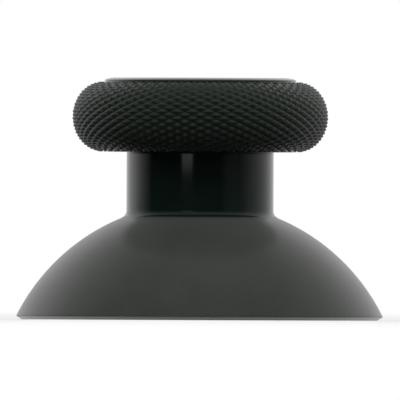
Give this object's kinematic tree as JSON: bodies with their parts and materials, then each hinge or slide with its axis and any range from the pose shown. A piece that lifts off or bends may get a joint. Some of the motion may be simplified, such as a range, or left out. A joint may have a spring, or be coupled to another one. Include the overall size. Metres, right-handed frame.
{
  "type": "thumbstick cap",
  "caption": "Thumbstick cap moulded in one piece: dished thumb pad with a diamond-knurled edge on a hollow stem and a thin spherical skirt, with a ribbed double-D socket inside.",
  "frame": {"origin": "on the axis of the cap, in the plane of the skirt's rim, on which it stands", "axes": "+Z along the axis from the skirt to the thumb pad; the flats of the socket face +X and -X"},
  "size_m": [0.0258, 0.0258, 0.017],
  "materials": {
    "black_plastic": "black moulded plastic: satin skirt, smoother stem, matt knurl"
  },
  "bodies": {
    "root": {"thumbstick_cap": "black_plastic"}
  },
  "joints": []
}
